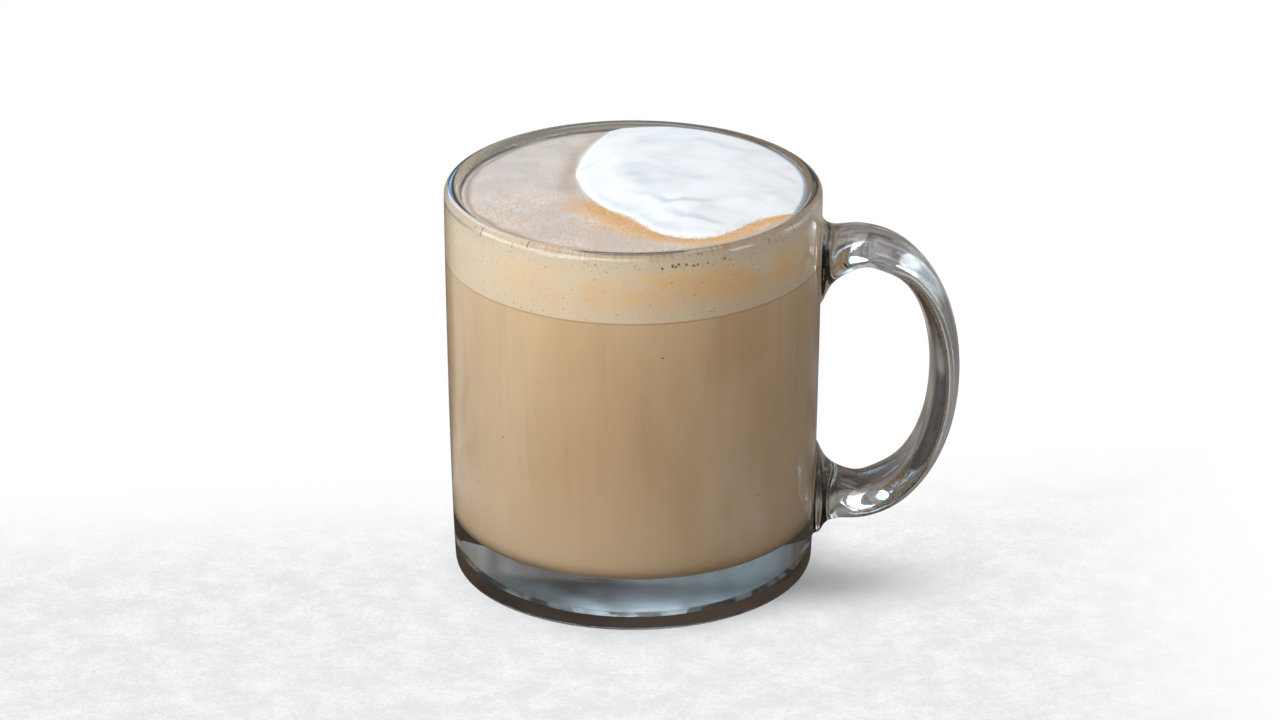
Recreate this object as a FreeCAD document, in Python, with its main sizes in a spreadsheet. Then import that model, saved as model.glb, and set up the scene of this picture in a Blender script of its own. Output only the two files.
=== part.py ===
"""A flat white in a pressed-glass mug: the mug with its handle, the coffee, its foam and the milk foam.

Z is up, the mug's axis is Z, its foot stands on z = 0 and its handle points along +X. Millimetres.
"""
import FreeCAD, Part
import math
import os
import Sketcher

Vector = FreeCAD.Vector

# Each row: name, value, what it is. Lengths are in millimetres, turns in degrees, shares are plain numbers.
SIZES = [
    ("rim_radius", 42.0, "outer radius of the rim"),
    ("mug_height", 90.8, "foot to rim"),
    ("wall", 3.5, "thickness of the wall at the rim, which is fully rounded"),
    ("shoulder_drop", 0.5, "how far in the pole lies that pulls the wall's side into a soft shoulder"),
    ("shoulder_height", 20.0, "height of that pole, below which the wall draws in faster"),
    ("foot_drop", 1.8, "how far the wall has drawn in at the foot"),
    ("foot_round", 2.4, "rounding of the foot's outer edge"),
    ("recess_radius", 24.5, "radius of the shallow recess under the foot"),
    ("recess_depth", 0.9, "depth of that recess"),
    ("recess_slope", 1.2, "width of the sloped step round the recess"),
    ("floor_height", 11.3, "thickness of the glass under the drink"),
    ("cavity_drop", 1.7, "how far the inner wall has drawn in at the bottom of the cavity"),
    ("cavity_corner", 4.5, "rounding at the bottom of the cavity"),
    ("fill_gap", 0.1, "clearance between the drink and the glass"),
    ("headroom", 1.3, "rim down to the top of the foam"),
    ("foam_depth", 15.7, "depth of the foam layer"),
    ("handle_reach", 20.6, "how far the half ellipse of the handle stands out"),
    ("handle_square", 0.022, "share by which its two bends stand outside a true ellipse"),
    ("root_run", 8.0, "length of the level runs from the wall to the half ellipse"),
    ("handle_top_drop", 16.5, "rim down to the mid-line of the upper run"),
    ("handle_low_height", 13.7, "foot up to the mid-line of the lower run"),
    ("handle_thick", 6.5, "thickness of the handle at its outermost point"),
    ("top_root_thick", 9.0, "thickness of the handle's upper run where it starts from the wall"),
    ("low_root_thick", 9.8, "thickness of the handle's lower run where it starts from the wall"),
    ("handle_width", 15.0, "width of the handle at its outermost point"),
    ("root_width", 16.6, "width of the handle where it starts from the wall"),
    ("finger_flare", 10.0, "sweep from the handle into the wall on the finger side"),
    ("outer_flare", 4.5, "sweep from the handle into the wall on the outside"),
    ("side_flare", 2.2, "sweep from the handle into the wall at its two sides"),
    ("root_fillet", 1.2, "rounding of the line where the handle meets the wall"),
    ("root_inset", 3.0, "how deep the handle's ends sit in the wall"),
    ("milk_x", 10.8, "middle of the milk foam, towards the handle"),
    ("milk_y", -8.7, "middle of the milk foam, across the handle"),
    ("milk_reach", 33.8, "mean radius of its outline, which the wall then cuts off"),
    ("milk_dome", 2.3, "rise of the milk foam above the layer it lies on"),
    ("milk_edge", 0.5, "thickness of its edge"),
    ("fold_x", 14.0, "middle of the folds poured into the milk foam, towards the handle"),
    ("fold_y", 10.9, "middle of the folds, across the handle"),
    ("fold_pitch", 9.0, "distance from one fold to the next"),
    ("fold_height", 0.3, "rise and fall of a fold about the dome"),
]

SAME_PLACE = 0.01  # points nearer than this are one point
EDGE_SHARES = (0.1, 0.3, 0.5, 0.7, 0.9)  # places along an edge at which it is looked at
WALL_MARGIN = 0.3
STATION_TURNS = (-90, -72, -54, -36, -18, 0, 18, 36, 54, 72, 90)  # along the half ellipse, 0 is outermost
FLARE_SHARES = (0.06, 0.22, 0.45)  # of the finger flare, outward from the wall
SECTION_POLES = 8
SECTION_DEGREE = 3
MILK_WAVES = ((1, 0.676, 60.8), (2, 0.295, 62.0), (3, 0.094, 44.0))  # waves round the outline, share, turn
FOLD_ARMS = 3
MILK_GRID = 26
OUTLINE_POINTS = 40

# Heights that several pieces share.
RIM_CENTRE = "(Sizes.mug_height - Sizes.wall / 2)"
FOAM_TOP = "Sizes.mug_height - Sizes.headroom"
FOAM_LINE = "Sizes.mug_height - Sizes.headroom - Sizes.foam_depth"
DRINK_FLOOR = "Sizes.floor_height + Sizes.fill_gap"


def fill_sheet(doc):
    sheet = doc.addObject("Spreadsheet::Sheet", "Sizes")
    for row, (name, value, note) in enumerate(SIZES, 1):
        sheet.set(f"A{row}", name)
        sheet.set(f"B{row}", str(value))
        sheet.set(f"C{row}", note)
        sheet.setAlias(f"B{row}", name)
    doc.recompute()
    return sheet


def origin_plane(body, role):
    return next(item for item in body.Origin.OriginFeatures if item.Role == role)


def add_sketch(body, name, role):
    sketch = body.newObject("Sketcher::SketchObject", name)
    sketch.AttachmentSupport = [(origin_plane(body, role), "")]
    sketch.MapMode = "FlatFace"
    return sketch


def hold_point(sketch, geometry, point_role, place):
    """Ties a point of the sketch to a pair of expressions, measured from the sketch's origin.

    An expression of None leaves that direction free.
    """
    for kind, expression in zip(("DistanceX", "DistanceY"), place):
        if expression is None:
            continue
        value = sketch.evalExpression(expression)
        index = sketch.addConstraint(Sketcher.Constraint(kind, -1, 1, geometry, point_role, value))
        sketch.setExpression(f"Constraints[{index}]", expression)


def add_spline(sketch, poles, knots, closed, degree):
    """Adds a spline whose poles can be held; gives its index and those of the circles round its poles."""
    curve = Part.BSplineCurve()
    times = [1] * len(knots) if closed else [degree + 1] * len(knots)
    curve.buildFromPolesMultsKnots(poles, times, knots, closed, degree)
    spline = sketch.addGeometry(curve, False)
    circles = [sketch.addGeometry(Part.Circle(pole, Vector(0, 0, 1), 1.0), True) for pole in poles]
    sketch.addConstraint(Sketcher.Constraint("Weight", circles[0], 1.0))
    for index, circle in enumerate(circles):
        if index:
            sketch.addConstraint(Sketcher.Constraint("Equal", circle, circles[0]))
        sketch.addConstraint(
            Sketcher.Constraint("InternalAlignment:Sketcher::BSplineControlPoint", circle, 3, spline, index))
    return spline, circles


def add_side(sketch, start, end, bend):
    """Adds one side of an outline: a line, a half round over the top, or a curve pulled towards a pole."""
    if bend is None:
        return sketch.addGeometry(Part.LineSegment(start, end))
    kind, place = bend
    if kind == "half round":
        middle = (start + end) / 2
        top = middle + Vector(0, start.distanceToPoint(end) / 2, 0)
        side = sketch.addGeometry(Part.Arc(start, top, end))
        hold_point(sketch, side, 3, (None, place))
        return side
    pole = Vector(*(sketch.evalExpression(expression) for expression in place), 0)
    side, circles = add_spline(sketch, [start, pole, end], [0.0, 1.0], False, 2)
    hold_point(sketch, circles[1], 3, place)
    return side


def turned_solid(body, name, corners, bends=None):
    """Turns a closed outline of (radius, height) expressions about Z.

    A bend replaces the straight side that starts at the corner of the same index. The outline lies on the
    side away from the handle, so that the seam of the turned wall stays clear of it.
    """
    bends = bends or {}
    sketch = add_sketch(body, name + "Outline", "XZ_Plane")
    places = [(f"-({radius})", height) for radius, height in corners]
    points = [Vector(sketch.evalExpression(x), sketch.evalExpression(z), 0) for x, z in places]
    count = len(points)
    sides = [add_side(sketch, points[i], points[(i + 1) % count], bends.get(i)) for i in range(count)]
    for index, side in enumerate(sides):
        corner = (index + 1) % count
        ends = []  # the end of this side and the start of the next, which a half round may have swapped
        for near in (side, sides[corner]):
            gaps = [sketch.getPoint(near, role).distanceToPoint(points[corner]) for role in (1, 2)]
            ends += [near, 1 if gaps[0] < gaps[1] else 2]
        sketch.addConstraint(Sketcher.Constraint("Coincident", *ends))
        hold_point(sketch, ends[0], ends[1], places[corner])
    turned = body.newObject("PartDesign::Revolution", name)
    turned.Profile = sketch
    turned.ReferenceAxis = (sketch, ["V_Axis"])
    turned.Angle = 360
    return turned


def ring_edges(feature, places):
    """Names of the circular edges about Z that have the given (radius, height)."""
    names = []
    for index, edge in enumerate(feature.Shape.Edges, 1):
        if not isinstance(edge.Curve, Part.Circle):
            continue
        found = (edge.Curve.Radius, edge.Curve.Center.z)
        if any(math.dist(found, place) < SAME_PLACE for place in places):
            names.append(f"Edge{index}")
    return names


def round_edges(body, name, base, edges, radius):
    if not edges:
        raise RuntimeError(f"{name} found no edge to round")
    fillet = body.newObject("PartDesign::Fillet", name)
    fillet.Base = (base, edges)
    fillet.setExpression("Radius", radius)
    body.Document.recompute()
    return fillet


def handle_section(body, name, place, turn, half_thick, half_width):
    """One closed smooth section of the handle; every argument after the name holds expressions.

    Its X axis points away from the finger gap and its Y axis across the handle.
    """
    sketch = add_sketch(body, name, "XY_Plane")
    sketch.AttachmentOffset = FreeCAD.Placement(Vector(0, 0, 0), FreeCAD.Rotation(Vector(0, 1, 0), -1))
    sketch.setExpression("AttachmentOffset.Base.x", place[0])
    sketch.setExpression("AttachmentOffset.Base.z", place[1])
    sketch.setExpression("AttachmentOffset.Rotation.Angle", f"-({turn})")
    step = 2 * math.pi / SECTION_POLES
    reach = 6 / (4 + 2 * math.cos(step))  # poles stand this much outside the curve they pull
    shares = [(reach * math.cos(step * i), reach * math.sin(step * i)) for i in range(SECTION_POLES)]
    places = [(f"({half_thick}) * {x:.6f}", f"({half_width}) * {y:.6f}") for x, y in shares]
    poles = [Vector(sketch.evalExpression(x), sketch.evalExpression(y), 0) for x, y in places]
    knots = [float(index) for index in range(SECTION_POLES + 1)]
    spline, circles = add_spline(sketch, poles, knots, True, SECTION_DEGREE)
    for circle, pole_place in zip(circles, places):
        hold_point(sketch, circle, 3, pole_place)
    return sketch


def swell(at_root, at_middle, rise):
    """Expression for a size that grows from the outermost point to the root as the sixth power of `rise`."""
    return f"{at_middle} + ({at_root} - {at_middle}) * pow({rise:.6f}; 6)"


def root_thick(side):
    return "Sizes.top_root_thick" if side > 0 else "Sizes.low_root_thick"


def bend_section(body, name, turn):
    """Section of the half ellipse at `turn` degrees from its outermost point."""
    rise, reach = math.sin(math.radians(turn)), math.cos(math.radians(turn))
    half_height = "(Sizes.mug_height - Sizes.handle_top_drop - Sizes.handle_low_height) / 2"
    square = f"(1 + Sizes.handle_square * {(2 * rise * reach) ** 2:.6f})"
    place = (f"Sizes.rim_radius + Sizes.root_run + Sizes.handle_reach * {reach:.6f} * {square}",
             f"Sizes.handle_low_height + {half_height} * (1 + {rise:.6f} * {square})")
    lean = f"atan2(Sizes.handle_reach * {rise:.6f}; {half_height} * {reach:.6f})"
    thick = swell(root_thick(rise), "Sizes.handle_thick", rise)
    width = swell("Sizes.root_width", "Sizes.handle_width", rise)
    return handle_section(body, name, place, lean, f"({thick}) / 2", f"({width}) / 2")


def flare(size, distance):
    """Expression for how far a quarter-round sweep of this size still stands off at a distance from the wall."""
    return f"{size} * (1 - sqrt(1 - pow(max(0; 1 - ({distance}) / {size}); 2)))"


def root_section(body, name, side, distance, x):
    """Section of a level run; side is 1 at the top and -1 at the bottom, distance is that from the wall."""
    sizes = ("finger_flare", "outer_flare", "side_flare")
    inner, outer, sides = (flare(f"Sizes.{size}", distance) for size in sizes)
    middle = "Sizes.mug_height - Sizes.handle_top_drop" if side > 0 else "Sizes.handle_low_height"
    place = (x, f"{middle} - {side} * ({inner} - {outer}) / 2")
    half_thick = f"({root_thick(side)} + {inner} + {outer}) / 2"
    half_width = f"Sizes.root_width / 2 + {sides}"
    return handle_section(body, name, place, f"{side} * 90", half_thick, half_width)


def root_sections(body, end, side):
    """Sections from inside the wall out to the start of the half ellipse."""
    first = f"Sizes.finger_flare * {FLARE_SHARES[0]}"
    sections = [root_section(body, f"{end}Root", side, first, "Sizes.rim_radius - Sizes.root_inset")]
    for index, share in enumerate(FLARE_SHARES):
        distance = f"Sizes.finger_flare * {share}"
        place = f"Sizes.rim_radius + {distance}"
        sections.append(root_section(body, f"{end}Flare{index}", side, distance, place))
    return sections


def joint_edges(feature, sheet):
    """Names of the edges where the handle comes out of the wall."""
    names = []
    low, high = sheet.rim_radius - sheet.foot_drop - 1, sheet.rim_radius + WALL_MARGIN
    for index, edge in enumerate(feature.Shape.Edges, 1):
        ends = edge.ParameterRange
        points = [edge.valueAt(ends[0] + (ends[1] - ends[0]) * share) for share in EDGE_SHARES]
        on_wall = all(point.x > 0 and low < math.hypot(point.x, point.y) < high for point in points)
        across = max(abs(point.y) for point in points) < sheet.root_width
        if on_wall and across and not isinstance(edge.Curve, Part.Circle):
            names.append(f"Edge{index}")
    return names


def make_mug(doc, sheet):
    body = doc.addObject("PartDesign::Body", "mug")
    corners = [
        ("0", "Sizes.recess_depth"),
        ("Sizes.recess_radius", "Sizes.recess_depth"),
        ("Sizes.recess_radius + Sizes.recess_slope", "0"),
        ("Sizes.rim_radius - Sizes.foot_drop", "0"),
        ("Sizes.rim_radius", RIM_CENTRE),
        ("Sizes.rim_radius - Sizes.wall", RIM_CENTRE),
        ("Sizes.rim_radius - Sizes.wall - Sizes.cavity_drop", "Sizes.floor_height"),
        ("0", "Sizes.floor_height"),
    ]
    bends = {
        3: ("pulled", ("-(Sizes.rim_radius - Sizes.shoulder_drop)", "Sizes.shoulder_height")),
        4: ("half round", RIM_CENTRE),
    }
    turned = turned_solid(body, "Glass", corners, bends)
    doc.recompute()
    foot = [(sheet.rim_radius - sheet.foot_drop, 0)]
    rounded = round_edges(body, "Foot", turned, ring_edges(turned, foot), "Sizes.foot_round")
    corner = [(sheet.rim_radius - sheet.wall - sheet.cavity_drop, sheet.floor_height)]
    rounded = round_edges(body, "CavityCorner", rounded, ring_edges(rounded, corner), "Sizes.cavity_corner")
    sections = root_sections(body, "Low", -1)
    sections += [bend_section(body, f"Bend{index}", turn) for index, turn in enumerate(STATION_TURNS)]
    sections += reversed(root_sections(body, "Top", 1))
    handle = body.newObject("PartDesign::AdditiveLoft", "Handle")
    handle.Profile = sections[0]
    handle.Sections = sections[1:]
    doc.recompute()
    round_edges(body, "HandleRoots", handle, joint_edges(handle, sheet), "Sizes.root_fillet")
    return body


def cavity_radius(sheet, height):
    """Radius of the drink's side at a height above the cavity's rounded corner."""
    rim_centre = sheet.mug_height - sheet.wall / 2
    share = (rim_centre - height) / (rim_centre - sheet.floor_height)
    return sheet.rim_radius - sheet.wall - sheet.fill_gap - sheet.cavity_drop * share


def side_radius(height):
    """The same radius as an expression, at a height that is an expression too."""
    share = f"({RIM_CENTRE} - ({height})) / ({RIM_CENTRE} - Sizes.floor_height)"
    return f"Sizes.rim_radius - Sizes.wall - Sizes.fill_gap - Sizes.cavity_drop * {share}"


def make_coffee(doc, sheet):
    body = doc.addObject("PartDesign::Body", "coffee")
    corners = [("0", DRINK_FLOOR), (side_radius(DRINK_FLOOR), DRINK_FLOOR), (side_radius(FOAM_LINE), FOAM_LINE),
               ("0", FOAM_LINE)]
    turned = turned_solid(body, "Drink", corners)
    doc.recompute()
    height = sheet.floor_height + sheet.fill_gap
    corner = ring_edges(turned, [(cavity_radius(sheet, height), height)])
    round_edges(body, "DrinkCorner", turned, corner, "Sizes.cavity_corner")
    return body


def make_foam(doc):
    body = doc.addObject("PartDesign::Body", "foam")
    corners = [("0", FOAM_LINE), (side_radius(FOAM_LINE), FOAM_LINE), (side_radius(FOAM_TOP), FOAM_TOP),
               ("0", FOAM_TOP)]
    turned_solid(body, "FoamLayer", corners)
    return body


def milk_radius(sheet, turn):
    """Radius of the milk foam's outline at a turn about its own middle."""
    waves = sum(share * math.cos(count * math.radians(turn - start)) for count, share, start in MILK_WAVES)
    return sheet.milk_reach * (1 + waves)


def milk_height(sheet, x, y):
    """Height of the milk foam over the layer it lies on: a low dome with spiral folds."""
    turn = math.degrees(math.atan2(y - sheet.milk_y, x - sheet.milk_x))
    out = min(1, math.hypot(x - sheet.milk_x, y - sheet.milk_y) / milk_radius(sheet, turn))
    wall_share = min(1, math.hypot(x, y) / (sheet.rim_radius - sheet.wall))
    dome = math.sqrt(1 - out * out) * (1 - wall_share ** 6)
    fold_turn = math.atan2(y - sheet.fold_y, x - sheet.fold_x)
    fold_out = math.hypot(x - sheet.fold_x, y - sheet.fold_y) / sheet.fold_pitch
    fold = math.cos(2 * math.pi * fold_out - FOLD_ARMS * fold_turn) * min(1, fold_out)
    return sheet.milk_edge + sheet.milk_dome * dome + sheet.fold_height * fold * dome


def make_milk_foam(doc, sheet):
    """The white patch: a prism of its outline under a smooth surface through its heights, cut off by the wall."""
    base = sheet.mug_height - sheet.headroom
    reach = sheet.rim_radius
    ticks = [reach * (2 * index / (MILK_GRID - 1) - 1) for index in range(MILK_GRID)]
    surface = Part.BSplineSurface()
    surface.interpolate([[Vector(x, y, base + milk_height(sheet, x, y)) for y in ticks] for x in ticks])
    depth = 2 * (sheet.milk_dome + sheet.milk_edge)
    under_surface = surface.toShape().extrude(Vector(0, 0, -depth))
    turns = [360 * index / OUTLINE_POINTS for index in range(OUTLINE_POINTS)]
    middle = Vector(sheet.milk_x, sheet.milk_y, base)
    rim = []
    for turn in turns:
        angle = math.radians(turn)
        rim.append(middle + Vector(math.cos(angle), math.sin(angle), 0) * milk_radius(sheet, turn))
    outline = Part.BSplineCurve()
    outline.interpolate(rim, PeriodicFlag=True)
    prism = Part.Face(Part.Wire(outline.toShape())).extrude(Vector(0, 0, depth))
    cavity = Part.makeCylinder(cavity_radius(sheet, base), depth, Vector(0, 0, base))
    milk = doc.addObject("Part::Feature", "milk_foam")
    milk.Shape = prism.common(cavity).common(under_surface).Solids[0]
    return milk


def check(doc, nodes):
    for item in doc.Objects:
        if "Invalid" in item.State or "Error" in item.State:
            raise RuntimeError(f"{item.Label} did not compute: {item.State}")
    for node in nodes:
        if node.Shape.isNull() or not node.Shape.isValid() or len(node.Shape.Solids) != 1:
            raise RuntimeError(f"{node.Label} is not one valid solid")


def main():
    doc = FreeCAD.newDocument("flat_white")
    sheet = fill_sheet(doc)
    nodes = [make_mug(doc, sheet), make_coffee(doc, sheet), make_foam(doc), make_milk_foam(doc, sheet)]
    doc.recompute()
    check(doc, nodes)
    os.makedirs("parts", exist_ok=True)
    for node in nodes:
        node.Shape.exportStep(f"parts/{node.Label}.step")
        box = node.Shape.BoundBox
        print(f"{node.Label}: {node.Shape.Volume / 1000:.1f} cm3, x {box.XMin:.2f} {box.XMax:.2f},"
              f" y {box.YMin:.2f} {box.YMax:.2f}, z {box.ZMin:.2f} {box.ZMax:.2f}")


main()
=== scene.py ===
import math

import bpy
import numpy as np
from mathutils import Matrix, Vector, noise


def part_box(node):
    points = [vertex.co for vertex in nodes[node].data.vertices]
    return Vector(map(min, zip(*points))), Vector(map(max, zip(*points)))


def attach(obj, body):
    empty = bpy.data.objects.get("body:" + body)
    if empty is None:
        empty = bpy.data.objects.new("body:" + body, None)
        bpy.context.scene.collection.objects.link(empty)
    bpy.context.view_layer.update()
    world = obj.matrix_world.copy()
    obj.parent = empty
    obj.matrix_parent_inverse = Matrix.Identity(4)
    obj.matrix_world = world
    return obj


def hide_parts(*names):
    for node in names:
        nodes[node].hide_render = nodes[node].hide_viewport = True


mm = 0.001

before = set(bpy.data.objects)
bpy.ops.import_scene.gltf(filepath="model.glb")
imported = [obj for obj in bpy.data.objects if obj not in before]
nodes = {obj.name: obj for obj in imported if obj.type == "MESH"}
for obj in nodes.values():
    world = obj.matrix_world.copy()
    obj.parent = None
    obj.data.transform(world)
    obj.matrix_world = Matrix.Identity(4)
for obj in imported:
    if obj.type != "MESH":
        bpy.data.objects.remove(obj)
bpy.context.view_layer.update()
mugLow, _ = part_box("mug")
coffeeLow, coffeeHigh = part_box("coffee")
foamLow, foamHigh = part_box("foam")
_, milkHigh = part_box("milk_foam")
print("milk foam up to", round(milkHigh.z, 4))

# Everything below is in millimetres until a mesh is made.
cup = {
    "rimRadius": -mugLow.x / mm,
    "foamTop": foamHigh.z / mm,
    "foamLine": foamLow.z / mm,
    "drinkFloor": coffeeLow.z / mm,
    "radiusAtFoamTop": foamHigh.y / mm,
    "radiusAtFoamLine": coffeeHigh.y / mm,
    "intoWall": 0.22,  # the drink reaches this much past its CAD side, just into the glass
    "cornerRound": 4.5,  # rounding at the bottom of the drink
}
cup["taper"] = (cup["radiusAtFoamTop"] - cup["radiusAtFoamLine"]) / (cup["foamTop"] - cup["foamLine"])


def sideRadius(z):
    # radius of the drink's pieces at a height
    return cup["radiusAtFoamLine"] + cup["taper"] * (z - cup["foamLine"]) + cup["intoWall"]


def addObject(name, data):
    made = bpy.data.objects.new(name, data)
    bpy.context.scene.collection.objects.link(made)
    return made


def makePiece(name, points, faces, material, attributes=None, smooth=True):
    # a mesh from points in millimetres, with a number at each point for each attribute
    mesh = bpy.data.meshes.new(name)
    mesh.from_pydata([Vector(p) * mm for p in points], [], faces)
    mesh.validate()
    for key, values in (attributes or {}).items():
        layer = mesh.attributes.new(key, "FLOAT", "POINT")
        layer.data.foreach_set("value", np.asarray(values, np.float32))
    mesh.polygons.foreach_set("use_smooth", [smooth] * len(mesh.polygons))
    mesh.materials.append(material)
    return addObject(name, mesh)


def turns(around, shift=0.0):
    # angles all the way round
    return [2 * math.pi * (j + shift) / around for j in range(around)]


def ringPoints(radius, z, around):
    return [(radius * math.cos(turn), radius * math.sin(turn), z) for turn in turns(around)]


def ringFaces(rings, around, closeEnd=True):
    # a pole point with a fan, rings of points joined by quads, and a second pole if the end is closed
    faces = [(0, 1 + j, 1 + (j + 1) % around) for j in range(around)]
    for i in range(rings - 1):
        a = 1 + i * around
        b = a + around
        for j in range(around):
            k = (j + 1) % around
            faces.append((a + j, b + j, b + k, a + k))
    if closeEnd:
        a = 1 + (rings - 1) * around
        faces += [(a + around, a + (j + 1) % around, a + j) for j in range(around)]
    return faces


class Tree:
    # a thin wrapper that adds nodes and links their inputs in one call
    def __init__(self, tree):
        self.tree = tree
        tree.nodes.clear()

    def add(self, kind, inputs=None, **settings):
        node = self.tree.nodes.new(kind)
        for key, value in settings.items():
            setattr(node, key, value)
        for key, value in (inputs or {}).items():
            self.set(node.inputs[key], value)
        return node

    def set(self, socket, value):
        if isinstance(value, bpy.types.NodeSocket):
            self.tree.links.new(value, socket)
        else:
            socket.default_value = value

    def math(self, operation, a, b=0.0):
        return self.add("ShaderNodeMath", {0: a, 1: b}, operation=operation).outputs[0]

    def times(self, first, *others):
        for other in others:
            first = self.math("MULTIPLY", first, other)
        return first

    def vector(self, operation, a, b):
        return self.add("ShaderNodeVectorMath", {0: a, 1: b}, operation=operation).outputs[0]

    def length(self, vector):
        return self.add("ShaderNodeVectorMath", {0: vector}, operation="LENGTH").outputs["Value"]

    def split(self, vector):
        return self.add("ShaderNodeSeparateXYZ", {0: vector}).outputs[:]

    def ramp(self, value, low, high, atLow=0.0, atHigh=1.0):
        # goes softly from one value to another while the given value goes from low to high
        made = self.add("ShaderNodeMapRange", {0: value, 1: low, 2: high, 3: atLow, 4: atHigh})
        made.interpolation_type = "SMOOTHSTEP"
        return made.outputs[0]

    def blend(self, factor, a, b):
        made = self.add("ShaderNodeMix", data_type="RGBA")
        self.set(made.inputs[0], factor)
        self.set(made.inputs[6], a)
        self.set(made.inputs[7], b)
        return made.outputs[2]

    def noise(self, vector, scale, detail=3.0, rough=0.5, distort=0.0):
        made = self.add("ShaderNodeTexNoise", {"Vector": vector, "Scale": scale, "Detail": detail,
                                               "Roughness": rough, "Distortion": distort})
        return made.outputs["Fac"]

    def place(self, scale=(1, 1, 1), turn=(0, 0, 0)):
        # object coordinates in millimetres, turned and then stretched
        coords = self.add("ShaderNodeTexCoord").outputs["Object"]
        turned = self.add("ShaderNodeMapping", {"Vector": coords, "Rotation": turn, "Scale": [1 / mm] * 3})
        return self.vector("MULTIPLY", turned.outputs[0], scale)

    def attribute(self, name):
        return self.add("ShaderNodeAttribute", attribute_name=name).outputs["Fac"]

    def bump(self, height, strength, depth, under=None):
        # depth in millimetres; under is a coarser bump below this one
        made = self.add("ShaderNodeBump", {"Height": height, "Strength": strength, "Distance": depth * mm})
        if under:
            self.set(made.inputs["Normal"], under)
        return made.outputs[0]


def srgb(r, g, b, a=1.0):
    # colour given as it looks, 0 to 255, turned linear
    def linear(v):
        v /= 255
        return v / 12.92 if v <= 0.04045 else ((v + 0.055) / 1.055) ** 2.4
    return (linear(r), linear(g), linear(b), a)


def newMaterial(name):
    material = bpy.data.materials.new(name)
    material.use_nodes = True
    tree = Tree(material.node_tree)
    return material, tree, tree.add("ShaderNodeOutputMaterial").inputs


def newSurface(name, roughness, specular):
    material, tree, outlet = newMaterial(name)
    shader = tree.add("ShaderNodeBsdfPrincipled", {"Roughness": roughness, "Specular IOR Level": specular})
    tree.set(outlet["Surface"], shader.outputs[0])
    return material, tree, shader.inputs


glassLook = {
    "tint": srgb(250, 252, 252),
    "roughness": 0.0,
    "ior": 1.5,
    "absorb": srgb(200, 208, 209),  # colour that long paths through the glass go towards
    "absorbDensity": 13.0,
    "shadow": srgb(240, 243, 243),  # what its wall leaves of the lamps' light
    "wave": 0.015,  # millimetres of unevenness left by the mould
    "stipple": 0.012,  # millimetres of fine grain on the hollow under the base
    "stippleFrom": (0.5, 0.8), "stippleTo": (1.2, 1.6),  # heights between which that grain comes and goes
}


def makeGlass():
    material, tree, outlet = newMaterial("clearGlass")
    shader = tree.add("ShaderNodeBsdfPrincipled", {
        "Base Color": glassLook["tint"], "Roughness": glassLook["roughness"], "IOR": glassLook["ior"],
        "Transmission Weight": 1.0})
    height = tree.split(tree.place())[2]
    waves = tree.noise(tree.place((1, 1, 0.4)), scale=0.14, detail=1.0)
    grain = tree.times(tree.noise(tree.place(), scale=5.0, detail=1.0),
                       tree.ramp(height, *glassLook["stippleFrom"]),
                       tree.ramp(height, *glassLook["stippleTo"], 1.0, 0.0))
    uneven = tree.bump(grain, 1.0, glassLook["stipple"], tree.bump(waves, 1.0, glassLook["wave"]))
    tree.set(shader.inputs["Normal"], uneven)
    # lamps shine straight through the wall onto the drink
    path = tree.add("ShaderNodeLightPath")
    through = tree.add("ShaderNodeBsdfTransparent", {"Color": glassLook["shadow"]})
    mix = tree.add("ShaderNodeMixShader", {0: path.outputs["Is Shadow Ray"], 1: shader.outputs[0],
                                           2: through.outputs[0]})
    absorb = tree.add("ShaderNodeVolumeAbsorption", {"Color": glassLook["absorb"],
                                                     "Density": glassLook["absorbDensity"]})
    tree.set(outlet["Surface"], mix.outputs[0])
    tree.set(outlet["Volume"], absorb.outputs[0])
    return material


coffeeLook = {
    "base": srgb(203, 172, 135),
    "deep": srgb(182, 148, 112),
    "pale": srgb(210, 182, 145),
    "low": srgb(220, 191, 157),
    "lowUpTo": (14.0, 44.0),  # heights between which that colour fades out
    "line": srgb(168, 124, 84),  # thin darker line under the foam
    "lineWidth": 0.35,
    "under": srgb(226, 236, 244),  # its underside, painted light: pale, as if lit from below through the thick base
    "underPatch": srgb(128, 128, 126),
    "roughness": 0.35,
    "specular": 0.1,
}


def makeCoffeeMaterial():
    material, tree, inputs = newSurface("milkyCoffee", coffeeLook["roughness"], coffeeLook["specular"])
    drift = tree.noise(tree.place((1, 1, 0.35)), scale=0.05, detail=2.0, distort=0.6)
    streaks = tree.noise(tree.place((1, 1, 0.05), (0, 0.05, 0)), scale=0.42, detail=3.0)
    swirl = tree.noise(tree.place((1, 1, 0.3)), scale=0.08, detail=2.0, distort=1.6)
    colour = tree.blend(tree.ramp(drift, 0.35, 0.7), coffeeLook["base"], coffeeLook["pale"])
    colour = tree.blend(tree.ramp(streaks, 0.5, 0.8, 0.0, 0.3), colour, coffeeLook["deep"])
    colour = tree.blend(tree.ramp(swirl, 0.52, 0.72, 0.0, 0.16), colour, coffeeLook["deep"])
    height = tree.split(tree.place())[2]
    colour = tree.blend(tree.ramp(height, *coffeeLook["lowUpTo"], 0.75, 0.0), colour, coffeeLook["low"])
    line, floor = cup["foamLine"], cup["drinkFloor"]
    nearLine = tree.ramp(height, line - coffeeLook["lineWidth"], line - 0.1, 0.0, 0.6)
    colour = tree.blend(nearLine, colour, coffeeLook["line"])
    # painted light on the underside seen through the thick base: pale, broken by grey patches
    patch = tree.noise(tree.place((1, 0.35, 0)), scale=0.16, detail=2.0, distort=1.2)
    under = tree.blend(tree.ramp(patch, 0.45, 0.56), coffeeLook["under"], coffeeLook["underPatch"])
    colour = tree.blend(tree.ramp(height, floor, floor + 0.1, 1.0, 0.0), colour, under)
    tree.set(inputs["Base Color"], colour)
    return material


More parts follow.
